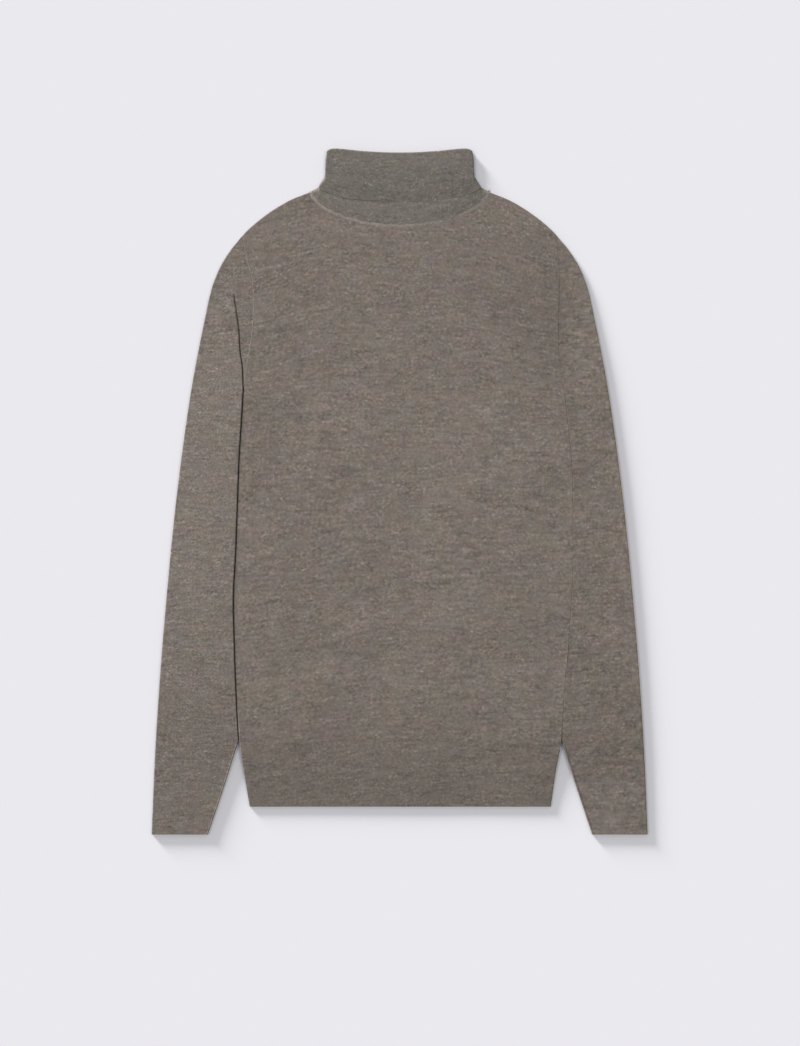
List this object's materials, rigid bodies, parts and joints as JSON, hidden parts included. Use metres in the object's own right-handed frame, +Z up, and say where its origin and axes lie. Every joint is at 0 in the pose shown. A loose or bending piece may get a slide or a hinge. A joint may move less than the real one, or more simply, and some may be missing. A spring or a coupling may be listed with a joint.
{
  "type": "turtleneck sweater",
  "caption": "Fine-knit turtleneck sweater in taupe melange, laid flat with its front up, sleeves down beside the body and roll collar folded over.",
  "frame": {"origin": "on the surface the sweater lies on, under the middle of its outline", "axes": "+Z up out of the front, +Y from the hem to the collar, +X towards the wearer's left sleeve"},
  "size_m": [0.56, 0.7749, 0.0073],
  "materials": {
    "melange_knit": "matte fine plain knit, taupe melange with short horizontal flecks",
    "melange_rib": "matte fine rib knit, the same melange slightly darker"
  },
  "bodies": {
    "root": {"body_front": "melange_knit", "body_back": "melange_knit", "sleeve_left": "melange_knit", "sleeve_right": "melange_knit", "collar": "melange_rib", "hem_rib_front": "melange_rib", "hem_rib_back": "melange_rib", "cuff_left": "melange_rib", "cuff_right": "melange_rib"}
  },
  "joints": []
}
